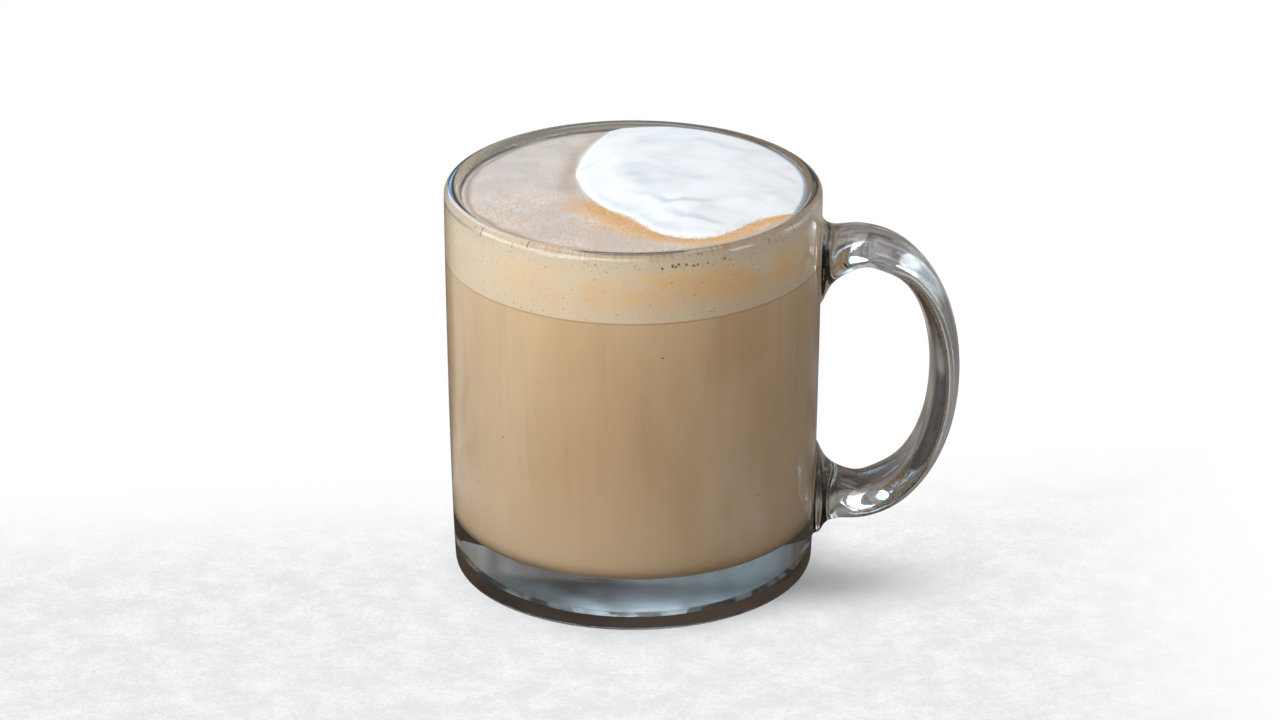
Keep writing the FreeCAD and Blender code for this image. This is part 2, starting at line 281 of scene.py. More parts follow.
foamLook = {
    "sidePale": srgb(216, 197, 168),
    "sideWarm": srgb(224, 186, 138),  # clouds in its middle
    "sideGrey": srgb(204, 188, 164),  # towards its top edge
    "sideLine": srgb(186, 148, 108),  # ticks at its top edge, and where it meets the coffee
    "sideShadeLeft": srgb(74, 82, 88),  # painted shade: dark grey-blue below its top edge on the left
    "sideShadeBehind": srgb(140, 138, 136),  # painted shade: grey below its top edge behind
    "topPale": srgb(222, 214, 207),
    "topGrey": srgb(203, 196, 190),
    "topBrown": srgb(218, 186, 154),
    "crema": srgb(232, 180, 112),
    "cremaDeep": srgb(220, 154, 78),
    # painted shade: a brown ring near the wall, and a haze beside the milk's left edge
    "ringShade": srgb(168, 142, 118),
    # painted shade: a thin dark line where the top meets the glass
    "wallShadeLine": srgb(104, 92, 84),
    "white": srgb(240, 236, 228),
    "roughness": 0.5,
    "specular": 0.35,
    "bump": 0.15,
}


def makeFoamMaterial():
    material, tree, inputs = newSurface("coffeeFoam", foamLook["roughness"], foamLook["specular"])
    x, y, height = tree.split(tree.place())
    line, top = cup["foamLine"], cup["foamTop"]
    # side, seen through the glass: warm clouds in its middle, grey above and paler below
    mottle = tree.noise(tree.place((1, 1, 1.6)), scale=0.07, detail=2.0, distort=0.5)
    fine = tree.noise(tree.place(), scale=1.6, detail=3.0)
    warm = tree.times(tree.ramp(height, line + 1.0, line + 6.5),
                      tree.ramp(height, top - 6, top - 2, 1.0, 0.0),
                      tree.ramp(x, -32.0, 4.0, 0.35, 1.0), tree.ramp(mottle, 0.38, 0.56))
    side = tree.blend(tree.ramp(height, top - 5.0, top - 0.5), foamLook["sidePale"], foamLook["sideGrey"])
    side = tree.blend(warm, side, foamLook["sideWarm"])
    side = tree.blend(tree.ramp(fine, 0.5, 0.8, 0.0, 0.3), side, foamLook["sideLine"])
    ticks = tree.noise(tree.place((1, 1, 0.08)), scale=1.3, detail=1.0)
    ticks = tree.times(tree.ramp(ticks, 0.45, 0.62, 0.0, 0.6), tree.ramp(height, top - 1.6, top - 0.8))
    side = tree.blend(ticks, side, foamLook["sideLine"])
    side = tree.blend(tree.ramp(height, line + 0.05, line + 0.3, 0.5, 0.0), side, foamLook["sideLine"])
    # painted shade: a dark grey-blue band below the top edge on the left, and grey below the top edge behind
    shadeLow = tree.ramp(x, -41.0, -26.0, top - 2.2, top - 0.7)
    leftShade = tree.ramp(tree.math("SUBTRACT", height, shadeLow), 0.0, 0.6, 0.0, 0.8)
    side = tree.blend(tree.times(leftShade, tree.ramp(x, -30.0, -20.0, 1.0, 0.0)), side, foamLook["sideShadeLeft"])
    # painted shade below the top edge behind
    backShade = tree.times(tree.ramp(y, -2.0, 12.0), tree.ramp(height, top - 8.0, top - 2.0), 0.7)
    side = tree.blend(backShade, side, foamLook["sideShadeBehind"])
    # top, whose zones are measured on the mesh; the grain runs away from the front
    grain = tree.noise(tree.place((2.4, 0.9, 1), (0, 0, 0.42)), scale=1.0, detail=3.0, rough=0.65)
    pores = tree.noise(tree.place(), scale=2.6, detail=2.0, rough=0.6)
    cloud = tree.noise(tree.place(), scale=0.12, detail=3.0, distort=0.2)
    colour = tree.blend(tree.ramp(cloud, 0.32, 0.68), foamLook["topGrey"], foamLook["topPale"])
    speck = tree.times(tree.ramp(grain, 0.46, 0.6), tree.attribute("speckle"))
    colour = tree.blend(speck, colour, foamLook["topBrown"])
    colour = tree.blend(tree.attribute("pale"), colour, foamLook["topPale"])
    colour = tree.blend(tree.attribute("ringShade"), colour, foamLook["ringShade"])
    crema = tree.times(tree.attribute("crema"), tree.ramp(grain, 0.3, 0.58, 0.5, 1.0))
    colour = tree.blend(crema, colour, foamLook["crema"])
    deep = tree.times(tree.attribute("cremaDeep"), tree.ramp(grain, 0.38, 0.6, 0.25, 1.0))
    colour = tree.blend(deep, colour, foamLook["cremaDeep"])
    dots = tree.times(tree.ramp(pores, 0.6, 0.72), tree.attribute("speckle"), 0.4)
    colour = tree.blend(dots, colour, foamLook["cremaDeep"])
    colour = tree.blend(tree.attribute("white"), colour, foamLook["white"])
    colour = tree.blend(tree.attribute("wallShadeLine"), colour, foamLook["wallShadeLine"])
    tree.set(inputs["Base Color"], tree.blend(tree.attribute("isTop"), side, colour))
    uneven = tree.times(tree.math("ADD", grain, pores), tree.attribute("isTop"))
    tree.set(inputs["Normal"], tree.bump(uneven, 0.6, foamLook["bump"]))
    return material


milkLook = {
    "white": srgb(250, 250, 250),
    "cloud": srgb(238, 240, 242),
    "shade": srgb(196, 209, 220),
    "edge": srgb(236, 222, 200),
    "wallShade": srgb(130, 140, 150),  # where it meets the glass
    "roughness": 0.42,
    "specular": 0.4,
    "bump": 0.08,
}


def makeMilkMaterial():
    material, tree, inputs = newSurface("milkFoam", milkLook["roughness"], milkLook["specular"])
    cloud = tree.noise(tree.place((1, 1.2, 1), (0, 0, 0.4)), scale=0.1, detail=3.0, distort=0.7)
    colour = tree.blend(tree.ramp(cloud, 0.4, 0.7), milkLook["white"], milkLook["cloud"])
    for mark in ("shade", "edge", "wallShade"):
        colour = tree.blend(tree.attribute(mark), colour, milkLook[mark])
    tree.set(inputs["Base Color"], colour)
    fine = tree.noise(tree.place(), scale=1.5, detail=2.0)
    tree.set(inputs["Normal"], tree.bump(fine, 0.3, milkLook["bump"]))
    return material


milkShape = {
    "x": 10.8, "y": -8.7, "reach": 33.8,  # its middle and the mean radius of its outline
    "waves": ((1, 0.676, 60.8), (2, 0.295, 62.0), (3, 0.094, 44.0)),  # waves round it, share, turn
}


def milkRadius(turn):
    # radius of the milk foam's outline about its own middle, before the wall cuts it off
    waves = sum(share * math.cos(count * (turn - math.radians(start)))
                for count, share, start in milkShape["waves"])
    return milkShape["reach"] * (1 + waves)


def pastMilkEdge(x, y):
    # millimetres outside (above 0) or inside (below 0) of the outline, along the ray from its middle
    dx, dy = x - milkShape["x"], y - milkShape["y"]
    return math.hypot(dx, dy) - milkRadius(math.atan2(dy, dx))


def milkTurn(x, y):
    # direction of a point from the middle of the milk foam, 0 to 360 degrees
    return math.degrees(math.atan2(y - milkShape["y"], x - milkShape["x"])) % 360


def smoothStep(low, high, value):
    share = min(1.0, max(0.0, (value - low) / (high - low)))
    return share * share * (3 - 2 * share)


def distanceToPath(x, y, path):
    # nearest distance to a line of points, and how far along it that is
    if len(path) == 1:
        return math.hypot(x - path[0][0], y - path[0][1]), 0.5
    best, along = math.inf, 0.5
    for index, (a, b) in enumerate(zip(path, path[1:])):
        dx, dy = b[0] - a[0], b[1] - a[1]
        share = min(1, max(0, ((x - a[0]) * dx + (y - a[1]) * dy) / (dx * dx + dy * dy)))
        gap = math.hypot(x - a[0] - dx * share, y - a[1] - dy * share)
        if gap < best:
            best, along = gap, (index + share) / (len(path) - 1)
    return best, along


def strokes(x, y, paths):
    # soft strokes drawn in plan, each a path, its half width and its strength
    total = 0.0
    for path, width, strength in paths:
        gap, along = distanceToPath(x, y, path)
        if gap < width * 3:
            taper = 0.35 + 0.65 * math.sin(math.pi * along) if len(path) > 1 else 1.0
            total += strength * math.exp(-(gap / width) ** 2) * taper
    return total


coffeeShape = {
    "around": 192,
    "floorRings": (0.3, 0.6, 0.85),  # shares of the flat floor's radius
    "cornerSteps": 8, "sideSteps": 24,
    "lip": 0.04,  # closeness of the points that keep its upper edge sharp
    "topRings": (0.5, 20.0),  # inwards from the wall
}


def makeCoffee(material):
    around, lip = coffeeShape["around"], coffeeShape["lip"]
    cornerSteps, sideSteps = coffeeShape["cornerSteps"], coffeeShape["sideSteps"]
    floor, line, bend = cup["drinkFloor"] - cup["intoWall"], cup["foamLine"], cup["cornerRound"]
    wall = sideRadius(floor + bend)
    rings = [((wall - bend) * share, floor) for share in coffeeShape["floorRings"]]
    for step in range(cornerSteps + 1):
        angle = math.pi / 2 * step / cornerSteps
        rings.append((wall - bend + bend * math.sin(angle), floor + bend - bend * math.cos(angle)))
    for step in range(1, sideSteps + 1):
        z = floor + bend + (line - floor - bend) * step / sideSteps
        rings.append((sideRadius(z), z))
    rings.insert(-1, (sideRadius(line - lip), line - lip))
    rings += [(sideRadius(line) - inward, line) for inward in (lip, *coffeeShape["topRings"])]
    points = [(0, 0, floor)]
    for radius, z in rings:
        points += ringPoints(radius, z, around)
    points.append((0, 0, line))
    # its rings rise from the floor, so the faces are turned round
    faces = [tuple(reversed(face)) for face in ringFaces(len(rings), around)]
    return makePiece("coffeeBody", points, faces, material)


foamShape = {
    "rings": 150, "around": 360, "sideRows": 14,
    "edgeDrop": 0.72,  # how far the foam has sunk where it meets the glass
    "leftDrop": 0.3,  # and this much more round its left side
    "leftTurn": 170,  # middle of that side, in degrees
    "dropWidth": 0.8,
    "relief": 0.05,
    "crowd": 1.15,  # above 1 the rings of points lie closer together towards the wall
    "cremaStart": (160, 188), "cremaEnd": (326, 350),  # degrees round the milk foam
    "cremaBroad": 7.5, "cremaThin": 3.6,  # width of the crema at its left end and in front
    "cremaNarrows": (212, 258),
    "ringIn": 1.7, "ringWidth": 0.75,  # painted shade: a brown ring where the foam bends down, measured in from the wall
    "haloShadow": (  # painted shadow: brown haze along the milk's far left edge
        (((-13.5, -3), (-14.5, 4), (-12.5, 15), (-9.5, 25), (-5, 34)), 2.2, 0.5),
    ),
    "pale": (  # pale streaks left by the pour
        (((-19, -17), (-17, -14.5), (-14.5, -13.4), (-11.5, -12.8), (-9.8, -14.5)), 0.9, 0.75),
        (((-26, -8), (-22, -14), (-20, -19)), 1.2, 0.35),
        (((22, -27.5), (27, -24.5), (31, -20)), 1.2, 0.6),
    ),
}


def foamSurface(x, y):
    # height of the foam's top over its own level
    fromWall = sideRadius(cup["foamTop"]) - math.hypot(x, y)
    left = smoothStep(0.2, 0.9, math.cos(math.atan2(y, x) - math.radians(foamShape["leftTurn"])))
    drop = foamShape["edgeDrop"] + foamShape["leftDrop"] * left
    drop *= math.exp(-max(0.0, fromWall) / (foamShape["dropWidth"] * (1 + 0.4 * left)))
    slow = noise.noise(Vector((x * 0.09, y * 0.09, 3.0)))
    fine = noise.noise(Vector((x * 0.9, y * 0.6, 7.0)))
    return foamShape["relief"] * (2.0 * slow + 0.5 * fine) - drop


def foamZones(x, y):
    # how much of each colour zone lies at a point of the foam's top
    out, turn = pastMilkEdge(x, y), milkTurn(x, y)
    fromWall = sideRadius(cup["foamTop"]) - math.hypot(x, y)
    wobble = noise.noise(Vector((x * 0.16, y * 0.16, 11.0)))
    wobble2 = noise.noise(Vector((x * 0.45, y * 0.45, 5.0)))
    # the crema follows the milk's near edge, broad at its left end and thin in front
    near = smoothStep(*foamShape["cremaStart"], turn) * (1 - smoothStep(*foamShape["cremaEnd"], turn))
    thinner = foamShape["cremaBroad"] - foamShape["cremaThin"]
    width = foamShape["cremaBroad"] - thinner * smoothStep(*foamShape["cremaNarrows"], turn) + 1.5 * wobble
    crema = near * (1 - smoothStep(width * 0.5, width * 1.35, out + 1.4 * wobble2))
    deep = near * (1 - smoothStep(width * 0.2, width * 0.75, out + 0.9 * wobble2))
    haloShadow = strokes(x + wobble, y + wobble, foamShape["haloShadow"])
    pale = strokes(x + 0.8 * wobble2, y, foamShape["pale"])
    frontness = smoothStep(6, -22, y + 0.3 * x + 6 * wobble)
    speckle = 0.3 + 0.7 * frontness
    leftness = smoothStep(-4, -26, x)
    # painted shade where the top bends down to the glass, stronger on the left
    ringShade = math.exp(-((fromWall - foamShape["ringIn"] - 0.7 * wobble) / foamShape["ringWidth"]) ** 2)
    ringShade *= 0.3 + 0.65 * leftness
    # painted shade in a thin line against the glass
    wallShadeLine = 1 - smoothStep(0.35, 1.0, fromWall + 0.15 * wobble2)
    white = 0.7 * (1 - smoothStep(-1.0, 0.1, out + 0.5 * wobble2))
    return crema * 0.8, deep * 0.75, speckle, min(1, ringShade + haloShadow), pale, white, wallShadeLine


def makeFoam(material):
    around, rings, rows = foamShape["around"], foamShape["rings"], foamShape["sideRows"]
    top, line = cup["foamTop"], cup["foamLine"]
    edge = sideRadius(top)
    points, zones = [], []
    keys = ("crema", "cremaDeep", "speckle", "ringShade", "pale", "white", "wallShadeLine", "isTop")

    def addTop(x, y):
        points.append((x, y, top + foamSurface(x, y)))
        zones.append(foamZones(x, y) + (1.0,))

    def addSide(radius, turn, z):
        points.append((radius * math.cos(turn), radius * math.sin(turn), z))
        zones.append((0,) * len(keys))

    addTop(0, 0)
    for i in range(1, rings + 1):
        radius = edge * (1 - (1 - i / rings) ** foamShape["crowd"])
        for turn in turns(around, 0.5 * (i % 2)):
            addTop(radius * math.cos(turn), radius * math.sin(turn))
    # close rows keep both edges sharp
    shares = [0.003] + [i / rows for i in range(1, rows)] + [0.997, 1.0]
    for share in shares:
        for turn in turns(around):
            lip = top + foamSurface(edge * math.cos(turn), edge * math.sin(turn))
            z = lip + (line - lip) * share
            addSide(sideRadius(z), turn, z)
    for turn in turns(around):
        addSide(edge * 0.5, turn, line)
    addSide(0, 0, line)
    faces = ringFaces(rings + len(shares) + 1, around)
    zones = np.array(zones)
    return makePiece("foamLayer", points, faces, material, {k: zones[:, i] for i, k in enumerate(keys)})


milkPiece = {
    "rings": 110, "around": 320, "crowd": 1.25,
    "dome": 2.0, "domeReach": 16,  # rise of its middle, and how far in from the edge it is full
    "edgeWidth": 3.0,  # over which the edge rises from the foam
    "edgeHeight": 0.45,
    "sink": 0.12,  # depth of its outer edge in the foam
    "under": 0.3,  # depth of its underside in the foam
    "ragged": ((4, 1.0, 0.7), (13, 9.0, 0.35)),  # how often the edge turns, seed and how far, twice
    "relief": 0.12, "fineRelief": 0.03,
    "climb": 0.15, "climbWidth": 0.9,  # rise against the glass
    "creaseDepth": 0.16, "hollowDepth": 0.3,  # where the strokes below have strength 1
    "creases": (  # folds left by the pour, blue-grey in their shade
        (((-1, -3.5), (3.5, -9.5), (6.5, -12), (10, -12.2), (14, -13.2), (19.5, -11.8)), 1.1, 0.8),
        (((6, -15.5), (9, -20), (14.5, -22.6), (18.5, -23.6)), 1.0, 0.7),
        (((28.3, -8.7), (31.2, -9)), 0.9, 0.45),
        (((33, 3), (36.5, -4.5)), 1.0, 0.45),
        (((33, -10.7), (35, -14.5)), 0.9, 0.35),
        (((0.6, -24.3),), 0.7, 0.6),
    ),
    "hollows": (  # broad soft shade
        (((-3, 9), (0.5, 3.5), (4.5, 0), (9, -3)), 3.2, 0.42),
        (((6, 11.5), (10.5, 6.5), (14.5, 1), (18, -0.5)), 2.8, 0.45),
        (((2, 23), (5.5, 25), (10, 24)), 2.6, 0.35),
        (((17, 27), (23, 21), (29.5, 16)), 2.0, 0.4),
        (((-8, 7.5), (-5, 1)), 2.2, 0.25),
        (((17, -27.5), (20, -27.8)), 1.4, 0.35),
        (((4, 14.5), (8, 8.5), (12, 4.5)), 1.3, -0.4),
        (((-10, -1), (-5, -10), (0.5, -19), (7, -25)), 3.4, 0.4),
    ),
}


def milkSurface(x, y, out, inside):
    # height over the foam's level and how deep in shade the point lies; out is 0 at the ragged edge and
    # below 0 inside it, and inside is the depth in from the smooth outline
    rise = smoothStep(0, milkPiece["edgeWidth"], -out)
    radius = math.hypot(x, y)
    fromWall = max(0.0, sideRadius(cup["foamTop"]) - radius)
    middle = 1 - (min(1, radius / cup["rimRadius"])) ** 4
    bend = noise.noise(Vector((x * 0.12, y * 0.12, 2.0)))
    bend2 = noise.noise(Vector((x * 0.3, y * 0.3, 6.0)))
    px, py = x + 1.2 * bend + 0.5 * bend2, y + 1.5 * bend - 0.5 * bend2
    crease = strokes(px, py, milkPiece["creases"])
    hollow = strokes(px, py, milkPiece["hollows"])
    full = smoothStep(0, milkPiece["domeReach"], inside)
    body = milkPiece["edgeHeight"] + milkPiece["dome"] * middle * full
    height = rise * (body + milkPiece["relief"] * bend + milkPiece["fineRelief"] * bend2
                     - milkPiece["creaseDepth"] * crease - milkPiece["hollowDepth"] * hollow)
    climb = milkPiece["climb"] * math.exp(-fromWall / milkPiece["climbWidth"])
    shade = min(1.0, max(0.0, rise * (crease + hollow * (1 + 0.6 * bend2))))
    return height + climb - milkPiece["sink"] * (1 - rise), shade, fromWall


def makeMilk(material):
    around, rings = milkPiece["around"], milkPiece["rings"]
    wall = sideRadius(cup["foamTop"] + 0.6)
    cx, cy = milkShape["x"], milkShape["y"]
    points, shades, edges, wallShades = [], [], [], []

    def add(x, y, out, inside):
        height, shade, fromWall = milkSurface(x, y, out, inside)
        points.append((x, y, cup["foamTop"] + foamSurface(x, y) * 0.4 + height))
        shades.append(shade)
        edges.append(0.7 * (1 - smoothStep(0.1, 1.3, -out)))
        wallShades.append(0.85 * (1 - smoothStep(0.4, 1.3, fromWall)))

    def reach(turn):
        # the outline with a ragged edge, cut off by the wall
        ragged = sum(size * noise.noise(Vector((math.cos(turn) * often, math.sin(turn) * often, seed)))
                     for often, seed, size in milkPiece["ragged"])
        free = milkRadius(turn) + ragged
        along = cx * math.cos(turn) + cy * math.sin(turn)
        toWall = -along + math.sqrt(along * along + wall * wall - cx * cx - cy * cy)
        return free, min(free, toWall)

    ends = [(turn, *reach(turn)) for turn in turns(around)]
    add(cx, cy, -20.0, 20.0)  # well inside the edge
    for i in range(1, rings + 1):
        share = 1 - (1 - i / rings) ** milkPiece["crowd"]
        for turn, free, end in ends:
            radius = end * share
            add(cx + radius * math.cos(turn), cy + radius * math.sin(turn), radius - free,
                milkRadius(turn) - radius)
    base = cup["foamTop"] - milkPiece["under"]
    for scale in (1.0, 0.5):
        for turn, _, end in ends:
            points.append((cx + end * scale * math.cos(turn), cy + end * scale * math.sin(turn), base))
    points.append((cx, cy, base))
    hidden = 2 * around + 1
    shades += [0.0] * hidden
    edges += [0.8] * hidden
    wallShades += [0.0] * hidden
    faces = ringFaces(rings + 2, around)
    marks = {"shade": shades, "edge": edges, "wallShade": wallShades}
    return makePiece("milkPatch", points, faces, material, marks)


bubbleLook = {
    # colour and roughness
    "foamPore": (srgb(128, 84, 52), 0.6),  # pinholes against the glass
    "foamBubble": (srgb(222, 196, 166), 0.25),  # tiny domes on the foam's top
    "milkBubble": (srgb(226, 226, 224), 0.25),
    "coffeeSpeck": (srgb(112, 58, 34), 0.6),  # grounds in the coffee
}
bubbleTint = srgb(190, 160, 130)  # what some of them lean towards


def makeBubbleMaterial(name):
    colour, roughness = bubbleLook[name]
    material, tree, inputs = newSurface(name, roughness, 0.5)
    vary = tree.ramp(tree.noise(tree.place(), scale=0.9, detail=1.0), 0.3, 0.7, 0.0, 0.35)
    tree.set(inputs["Base Color"], tree.blend(vary, colour, bubbleTint))
    return material


def scatterTree():
    # beads scattered over a carrier mesh by its "beads" attribute, flattened against its surface
    group = bpy.data.node_groups.new("scatterBeads", "GeometryNodeTree")
    group.is_modifier = True
    for name, kind in (("Geometry", "Geometry"), ("Density", "Float"), ("Smallest", "Float"),
                       ("Largest", "Float"), ("Flatness", "Float"), ("Seed", "Int"), ("Material", "Material")):
        group.interface.new_socket(name, in_out="INPUT", socket_type="NodeSocket" + kind)
    group.interface.new_socket("Geometry", in_out="OUTPUT", socket_type="NodeSocketGeometry")
    tree = Tree(group)
    given = tree.add("NodeGroupInput").outputs
    share = tree.add("GeometryNodeInputNamedAttribute", {"Name": "beads"}, data_type="FLOAT").outputs[0]
    density = tree.math("MULTIPLY", share, given["Density"])
    points = tree.add("GeometryNodeDistributePointsOnFaces",
                      {"Mesh": given["Geometry"], "Density": density, "Seed": given["Seed"]})
    size = tree.add("FunctionNodeRandomValue",
                    {2: given["Smallest"], 3: given["Largest"], "Seed": given["Seed"]},
                    data_type="FLOAT").outputs[1]
    flat = tree.add("ShaderNodeCombineXYZ", {0: 1.0, 1: 1.0, 2: given["Flatness"]}).outputs[0]
    scale = tree.add("ShaderNodeVectorMath", {0: flat, "Scale": size}, operation="SCALE").outputs[0]
    bead = tree.add("GeometryNodeMeshIcoSphere", {"Radius": 1.0, "Subdivisions": 2})
    placed = tree.add("GeometryNodeInstanceOnPoints",
                      {"Points": points.outputs["Points"], "Instance": bead.outputs["Mesh"],
                       "Rotation": points.outputs["Rotation"], "Scale": scale})
    real = tree.add("GeometryNodeRealizeInstances", {0: placed.outputs[0]})
    smooth = tree.add("GeometryNodeSetShadeSmooth", {0: real.outputs[0]})
    painted = tree.add("GeometryNodeSetMaterial", {0: smooth.outputs[0], "Material": given["Material"]})
    tree.add("NodeGroupOutput", {0: painted.outputs[0]})
    return group


def scatterBeads(name, group, carrier, material, settings):
    # the beads as a plain mesh of their own; the carrier goes away
    modifier = carrier.modifiers.new("beads", "NODES")
    modifier.node_group = group
    values = dict(settings, Material=material)
    for item in group.interface.items_tree:
        if item.in_out == "INPUT" and item.name in values:
            modifier[item.identifier] = values[item.name]
    carrier.update_tag()
    depsgraph = bpy.context.evaluated_depsgraph_get()
    mesh = bpy.data.meshes.new_from_object(carrier.evaluated_get(depsgraph), depsgraph=depsgraph)
    carrier.modifiers.remove(modifier)
    bpy.data.meshes.remove(carrier.data)
    mesh.name = name
    if not mesh.materials:
        mesh.materials.append(material)
    print(name, len(mesh.polygons), "faces")
    return addObject(name, mesh)


def sideCarrier(low, high, share):
    # a strip of the drink's side between two heights, with the share of beads at each point
    around, rows = 240, 12
    points, beads, faces = [], [], []
    for i in range(rows + 1):
        z = low + (high - low) * i / rows
        points += ringPoints(sideRadius(z), z, around)
        beads += [share(math.degrees(turn), z) for turn in turns(around)]
    for i in range(rows):
        for j in range(around):
            k = (j + 1) % around
            faces.append((i * around + j, i * around + k, (i + 1) * around + k, (i + 1) * around + j))
    return makePiece("carrier", points, faces, glassMaterial, {"beads": beads})


def topCarrier(height, share):
    # a disc over the drink's top, clear of the wall
    around, rings, clear = 160, 70, 0.5
    spots = [(0, 0)]
    for i in range(1, rings + 1):
        radius = (sideRadius(cup["foamTop"]) - clear) * i / rings
        spots += [(radius * math.cos(turn), radius * math.sin(turn)) for turn in turns(around)]
    points = [(x, y, height(x, y)) for x, y in spots]
    beads = [share(x, y) for x, y in spots]
    faces = ringFaces(rings, around, closeEnd=False)
    return makePiece("carrier", points, faces, glassMaterial, {"beads": beads})


beadSets = {
    # beads in a square metre, bead radii in metres
    "sidePores": {"Density": 1700000.0, "Smallest": 0.00005, "Largest": 0.00016, "Flatness": 0.25, "Seed": 5},
    "largePores": {"Density": 900000.0, "Smallest": 0.00022, "Largest": 0.00034, "Flatness": 0.2, "Seed": 11},
    "topBubbles": {"Density": 500000.0, "Smallest": 0.00007, "Largest": 0.00022, "Flatness": 0.5, "Seed": 3},
    "milkBubbles": {"Density": 2500000.0, "Smallest": 0.00008, "Largest": 0.0002, "Flatness": 0.6, "Seed": 8},
    "coffeeSpecks": {"Density": 1200.0, "Smallest": 0.00008, "Largest": 0.00024, "Flatness": 0.2, "Seed": 4},
}
beadPlaces = {
    "poresDown": 2.4, "poresDeep": 0.9,  # band of pores, from the foam's top edge down
    "lowPoresUp": 1.6, "lowPoresDeep": 0.8,  # fainter band, up from the line under the foam
    "largeTurn": 283, "largeWide": 9,  # one group of larger holes, a little to the right of the front
    "largeDown": 2.6, "largeDeep": 0.35,
    "milkStart": (215, 250), "milkEnd": (310, 335),  # degrees round the milk foam, along its near edge
    "lift": 0.02,  # of the bubbles over the foam
}


def makeBeads():
    group = scatterTree()
    top, line = cup["foamTop"], cup["foamLine"]

    def band(away, width):
        return math.exp(-(away / width) ** 2)

    def poreShare(turn, z):
        cluster = noise.noise(Vector((turn * 0.05, 0.0, 4.0)))
        cluster += 0.5 * noise.noise(Vector((turn * 0.3, z, 8.0)))
        high = band(z - (top - beadPlaces["poresDown"]), beadPlaces["poresDeep"])
        low = 0.25 * band(z - (line + beadPlaces["lowPoresUp"]), beadPlaces["lowPoresDeep"])
        return max(0.0, high * (0.45 + cluster) + low * (0.3 + cluster) + 0.02)

    def largeShare(turn, z):
        away = abs((turn - beadPlaces["largeTurn"] + 180) % 360 - 180)
        height = band(z - (top - beadPlaces["largeDown"]), beadPlaces["largeDeep"])
        return height * band(away, beadPlaces["largeWide"])

    def bubbleShare(x, y):
        if pastMilkEdge(x, y) < 0.3:
            return 0.0
        clump = noise.noise(Vector((x * 0.25, y * 0.25, 14.0)))
        frontness = smoothStep(8, -24, y + 0.3 * x)
        return max(0.0, 0.25 + 0.75 * frontness + 0.8 * clump)

    def milkShare(x, y):
        out = pastMilkEdge(x, y) + 0.6 * noise.noise(Vector((x * 0.4, y * 0.4, 21.0)))
        turn = milkTurn(x, y)
        front = smoothStep(*beadPlaces["milkStart"], turn) * (1 - smoothStep(*beadPlaces["milkEnd"], turn))
        return front * band(out + 0.3, 1.0)

    def speckShare(turn, z):
        return 1.0 if z < line - 2 else 0.0

    pore, bubble, milkBubble, speck = (makeBubbleMaterial(name) for name in bubbleLook)

    def foamLevel(x, y):
        return top + foamSurface(x, y) + beadPlaces["lift"]

    def edgeLevel(x, y):
        return foamLevel(x, y) + 0.1 * smoothStep(0.2, -1.5, pastMilkEdge(x, y))

    low = cup["drinkFloor"] + 8
    for name, carrier, material, finish in (
            ("sidePores", sideCarrier(line + 0.6, top - 0.4, poreShare), pore, "coffee_foam"),
            ("largePores", sideCarrier(top - 4.0, top - 1.2, largeShare), pore, "coffee_foam"),
            ("topBubbles", topCarrier(foamLevel, bubbleShare), bubble, "coffee_foam"),
            ("milkBubbles", topCarrier(edgeLevel, milkShare), milkBubble, "milk_foam"),
            ("coffeeSpecks", sideCarrier(low, line - 2, speckShare), speck, "milky_coffee")):
        piece = scatterBeads(name, group, carrier, material, beadSets[name])
        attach(piece, "root")


glassMaterial = makeGlass()  # before makeBeads, whose carriers borrow it
mug = nodes["mug"]
mug.data.materials.clear()
mug.data.materials.append(glassMaterial)
coffee = makeCoffee(makeCoffeeMaterial())
foam = makeFoam(makeFoamMaterial())
milk = makeMilk(makeMilkMaterial())
for piece, node, slot in ((coffee, "coffee", "milky_coffee"), (foam, "foam", "coffee_foam"),
                          (milk, "milk_foam", "milk_foam")):
    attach(piece, "root")
    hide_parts(node)
makeBeads()
print("drink made")

stageLook = {
    "floor": srgb(238, 238, 239),
    "floorShade": srgb(206, 206, 206),
    "floorMottle": srgb(234, 234, 234),
    "floorPale": srgb(250, 250, 250),
    "floorGrit": srgb(218, 218, 218),
    "roughness": 0.8,
    "specular": 0.2,
    "size": 6000.0,
    "shadowX": 43.0, "shadowY": -19.0,  # middle of the soft shadow beside the base, painted on the floor's colour
    "shadowLong": 26.0, "shadowDeep": 14.0,
    "contact": (39.0, 50.0),  # from the middle, where the floor's own shading round the foot fades
    "plainBehind": (-10.0, 55.0), "plainRight": (70.0, 150.0),  # where its grain fades to plain white
}

tentLook = {
    # a glowing card under and round the object that only glass and gloss show, though it is no lamp: painted
    # reflections of a dark surround with bright windows
    "radius": 135.0, "height": 340.0, "around": 96,
    "lift": 0.05, "corner": 4.0,  # heights of its bottom and of the bend at its edge
    "under": (6.0, 6.4, 6.9, 1.0), "underTo": (13.0, 18.0),  # painted light: a bright middle below the hollow of the base, which lights the drink's underside through the glass
    "near": srgb(66, 57, 50), "nearTo": (48.0, 80.0),
    "far": srgb(122, 116, 113),
    "wallLow": srgb(96, 92, 91), "wallHigh": srgb(150, 146, 146), "wallChange": (20.0, 110.0),
    "patchesFrom": (60.0, 84.0),  # from the middle, where the patches begin
    "clouds": (0.72, 1.3),  # weakest and strongest glow
}
